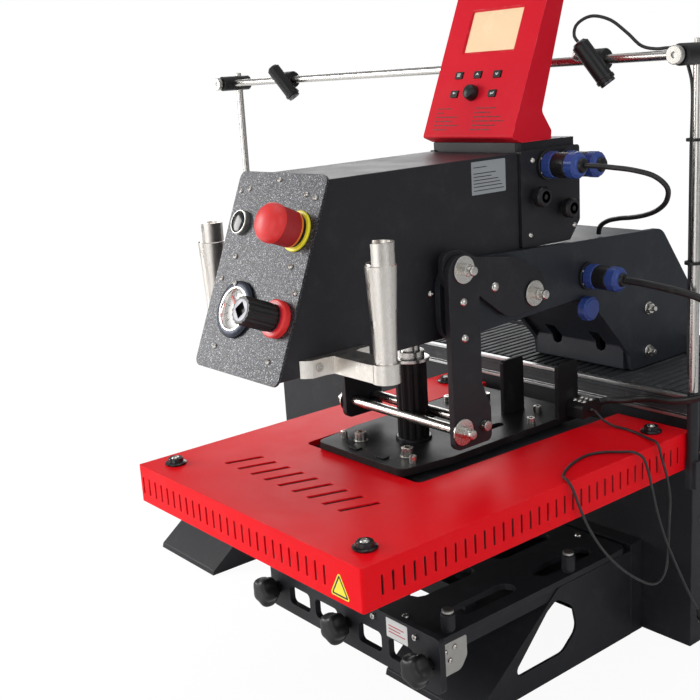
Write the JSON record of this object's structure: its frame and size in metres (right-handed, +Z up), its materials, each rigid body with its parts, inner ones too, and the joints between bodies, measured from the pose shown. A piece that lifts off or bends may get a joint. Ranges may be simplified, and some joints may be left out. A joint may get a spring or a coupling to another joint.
{
  "type": "heat press",
  "caption": "Pneumatic heat press with a head that slides along a wide cabinet and a heated platen that presses down over a quick-change lower carrier.",
  "frame": {"origin": "middle of the cabinet's underside, on the floor", "axes": "+Z up, +X to the operator's right along the cabinet, +Y away from the operator"},
  "size_m": [1.024, 0.8167, 0.8452],
  "materials": {
    "red_coat": "textured powder coat",
    "dark_coat": "fine powder coat",
    "hammertone": "speckled hammertone",
    "black_gloss": "gloss black",
    "black_plastic": "moulded",
    "rubber": "ribbed",
    "satin_aluminium": "satin",
    "steel": "polished",
    "zinc": "zinc plated",
    "estop_red": "satin",
    "signal_yellow": "satin",
    "connector_blue": "satin",
    "needle_red": "matt"
  },
  "bodies": {
    "root": {"cabinet_housing": "dark_coat", "cabinet_back_panel": "dark_coat", "ribbed_top_mat": "rubber", "front_guide_profile": "satin_aluminium", "linear_rail": "steel", "foot_right": "dark_coat", "foot_left": "dark_coat", "front_cross_plate": "dark_coat", "carrier_frame": "dark_coat", "carrier_front_bar": "dark_coat", "gantry_crossbar": "steel", "gantry_post_left": "steel", "gantry_post_right": "steel", "sensor_lead": "black_plastic", "sensor_plug": "black_plastic"},
    "carriage": {"arm_plate_right": "dark_coat", "arm_plate_left": "dark_coat", "arm_column": "dark_coat", "head_housing": "dark_coat", "front_panel": "hammertone", "start_button_bezel": "steel", "estop_body": "signal_yellow", "gauge_body": "steel", "regulator_body": "estop_red", "air_cylinder": "satin_aluminium", "controller_housing": "red_coat", "rear_bracket": "dark_coat", "power_connector": "connector_blue", "signal_connector": "connector_blue", "handle_right": "satin_aluminium", "handle_left": "satin_aluminium", "power_cable": "black_plastic", "signal_cable": "black_plastic"},
    "platen": {"platen_cover": "red_coat", "heater_block": "satin_aluminium", "mounting_plate": "black_gloss", "heater_terminal_block": "black_plastic", "upright_right": "dark_coat", "upright_left": "dark_coat", "cross_rod_front": "steel", "cross_rod_rear": "steel", "press_post": "black_gloss", "piston_rod": "steel"},
    "star_knob_left": {"star_knob_left": "black_plastic"},
    "star_knob_middle": {"star_knob_middle": "black_plastic"},
    "star_knob_right": {"star_knob_right": "black_plastic"},
    "laser_left": {"laser_holder_left": "black_plastic"},
    "laser_right": {"laser_holder_right": "black_plastic"},
    "start_button": {"start_button": "black_plastic"},
    "estop_button": {"estop_button": "estop_red"},
    "gauge_needle": {"gauge_needle": "needle_red"},
    "regulator_knob": {"regulator_knob": "black_plastic"},
    "button_menu": {"button_menu": "black_plastic"},
    "button_up": {"button_up": "black_plastic"},
    "button_down": {"button_down": "black_plastic"},
    "button_back": {"button_back": "black_plastic"},
    "button_enter": {"button_enter": "black_plastic"},
    "encoder": {"encoder_knob": "black_plastic"},
    "link_right": {"link_right": "dark_coat"},
    "link_left": {"link_left": "dark_coat"}
  },
  "joints": [
    {"name": "head_slide", "type": "slide", "parent": "root", "child": "carriage", "axis": [-1, 0, 0], "range_m": [0, 0.444]},
    {"name": "press_stroke", "type": "slide", "parent": "carriage", "child": "platen", "axis": [0, 0, -1], "range_m": [0, 0.055]},
    {"name": "link_right_pivot", "type": "hinge", "parent": "carriage", "child": "link_right", "pos_m": [0.312, -0.292, 0.48], "axis": [1, 0, 0], "range_deg": [0, 24.6]},
    {"name": "link_left_pivot", "type": "hinge", "parent": "carriage", "child": "link_left", "pos_m": [0.145, -0.292, 0.48], "axis": [1, 0, 0], "range_deg": [0, 24.6]},
    {"name": "start_button_press", "type": "slide", "parent": "carriage", "child": "start_button", "axis": [0, 0.9252, -0.3795], "range_m": [0, 0.0025], "stiffness_N_per_m": 500, "springref_m": -0.001},
    {"name": "estop_press", "type": "slide", "parent": "carriage", "child": "estop_button", "axis": [0, 0.9252, -0.3795], "range_m": [0, 0.004], "stiffness_N_per_m": 800, "springref_m": -0.002},
    {"name": "gauge_needle_turn", "type": "hinge", "parent": "carriage", "child": "gauge_needle", "pos_m": [0.2061, -0.63173, 0.50742], "axis": [0, 0.9252, -0.3795], "range_deg": [-90, 180], "stiffness_Nm_per_rad": 0.001},
    {"name": "regulator_turn", "type": "hinge", "parent": "carriage", "child": "regulator_knob", "pos_m": [0.2825, -0.63207, 0.50659], "axis": [0, -0.9252, 0.3795], "continuous": true},
    {"name": "button_menu_press", "type": "slide", "parent": "carriage", "child": "button_menu", "axis": [0, 0.9195, -0.393], "range_m": [0, 0.001], "stiffness_N_per_m": 600, "springref_m": -0.001},
    {"name": "button_up_press", "type": "slide", "parent": "carriage", "child": "button_up", "axis": [0, 0.9195, -0.393], "range_m": [0, 0.001], "stiffness_N_per_m": 600, "springref_m": -0.001},
    {"name": "button_down_press", "type": "slide", "parent": "carriage", "child": "button_down", "axis": [0, 0.9195, -0.393], "range_m": [0, 0.001], "stiffness_N_per_m": 600, "springref_m": -0.001},
    {"name": "button_back_press", "type": "slide", "parent": "carriage", "child": "button_back", "axis": [0, 0.9195, -0.393], "range_m": [0, 0.001], "stiffness_N_per_m": 600, "springref_m": -0.001},
    {"name": "button_enter_press", "type": "slide", "parent": "carriage", "child": "button_enter", "axis": [0, 0.9195, -0.393], "range_m": [0, 0.001], "stiffness_N_per_m": 600, "springref_m": -0.001},
    {"name": "encoder_turn", "type": "hinge", "parent": "carriage", "child": "encoder", "pos_m": [0.221, -0.28108, 0.71097], "axis": [0, -0.9195, 0.393], "continuous": true},
    {"name": "star_knob_left_turn", "type": "hinge", "parent": "root", "child": "star_knob_left", "pos_m": [0.074, -0.529, 0.1015], "axis": [0, -1, 0], "continuous": true},
    {"name": "star_knob_middle_turn", "type": "hinge", "parent": "root", "child": "star_knob_middle", "pos_m": [0.2155, -0.529, 0.1025], "axis": [0, -1, 0], "continuous": true},
    {"name": "star_knob_right_turn", "type": "hinge", "parent": "root", "child": "star_knob_right", "pos_m": [0.36, -0.529, 0.106], "axis": [0, -1, 0], "continuous": true},
    {"name": "laser_left_swivel", "type": "hinge", "parent": "root", "child": "laser_left", "pos_m": [-0.29, -0.175, 0.741], "axis": [1, 0, 0], "range_deg": [-30, 30]},
    {"name": "laser_right_swivel", "type": "hinge", "parent": "root", "child": "laser_right", "pos_m": [0.327, -0.175, 0.741], "axis": [1, 0, 0], "range_deg": [-30, 30]}
  ],
  "couplings": [
    {"joint": "link_right_pivot", "follows": "press_stroke", "rad_per_m": 7.8},
    {"joint": "link_left_pivot", "follows": "press_stroke", "rad_per_m": 7.8}
  ]
}
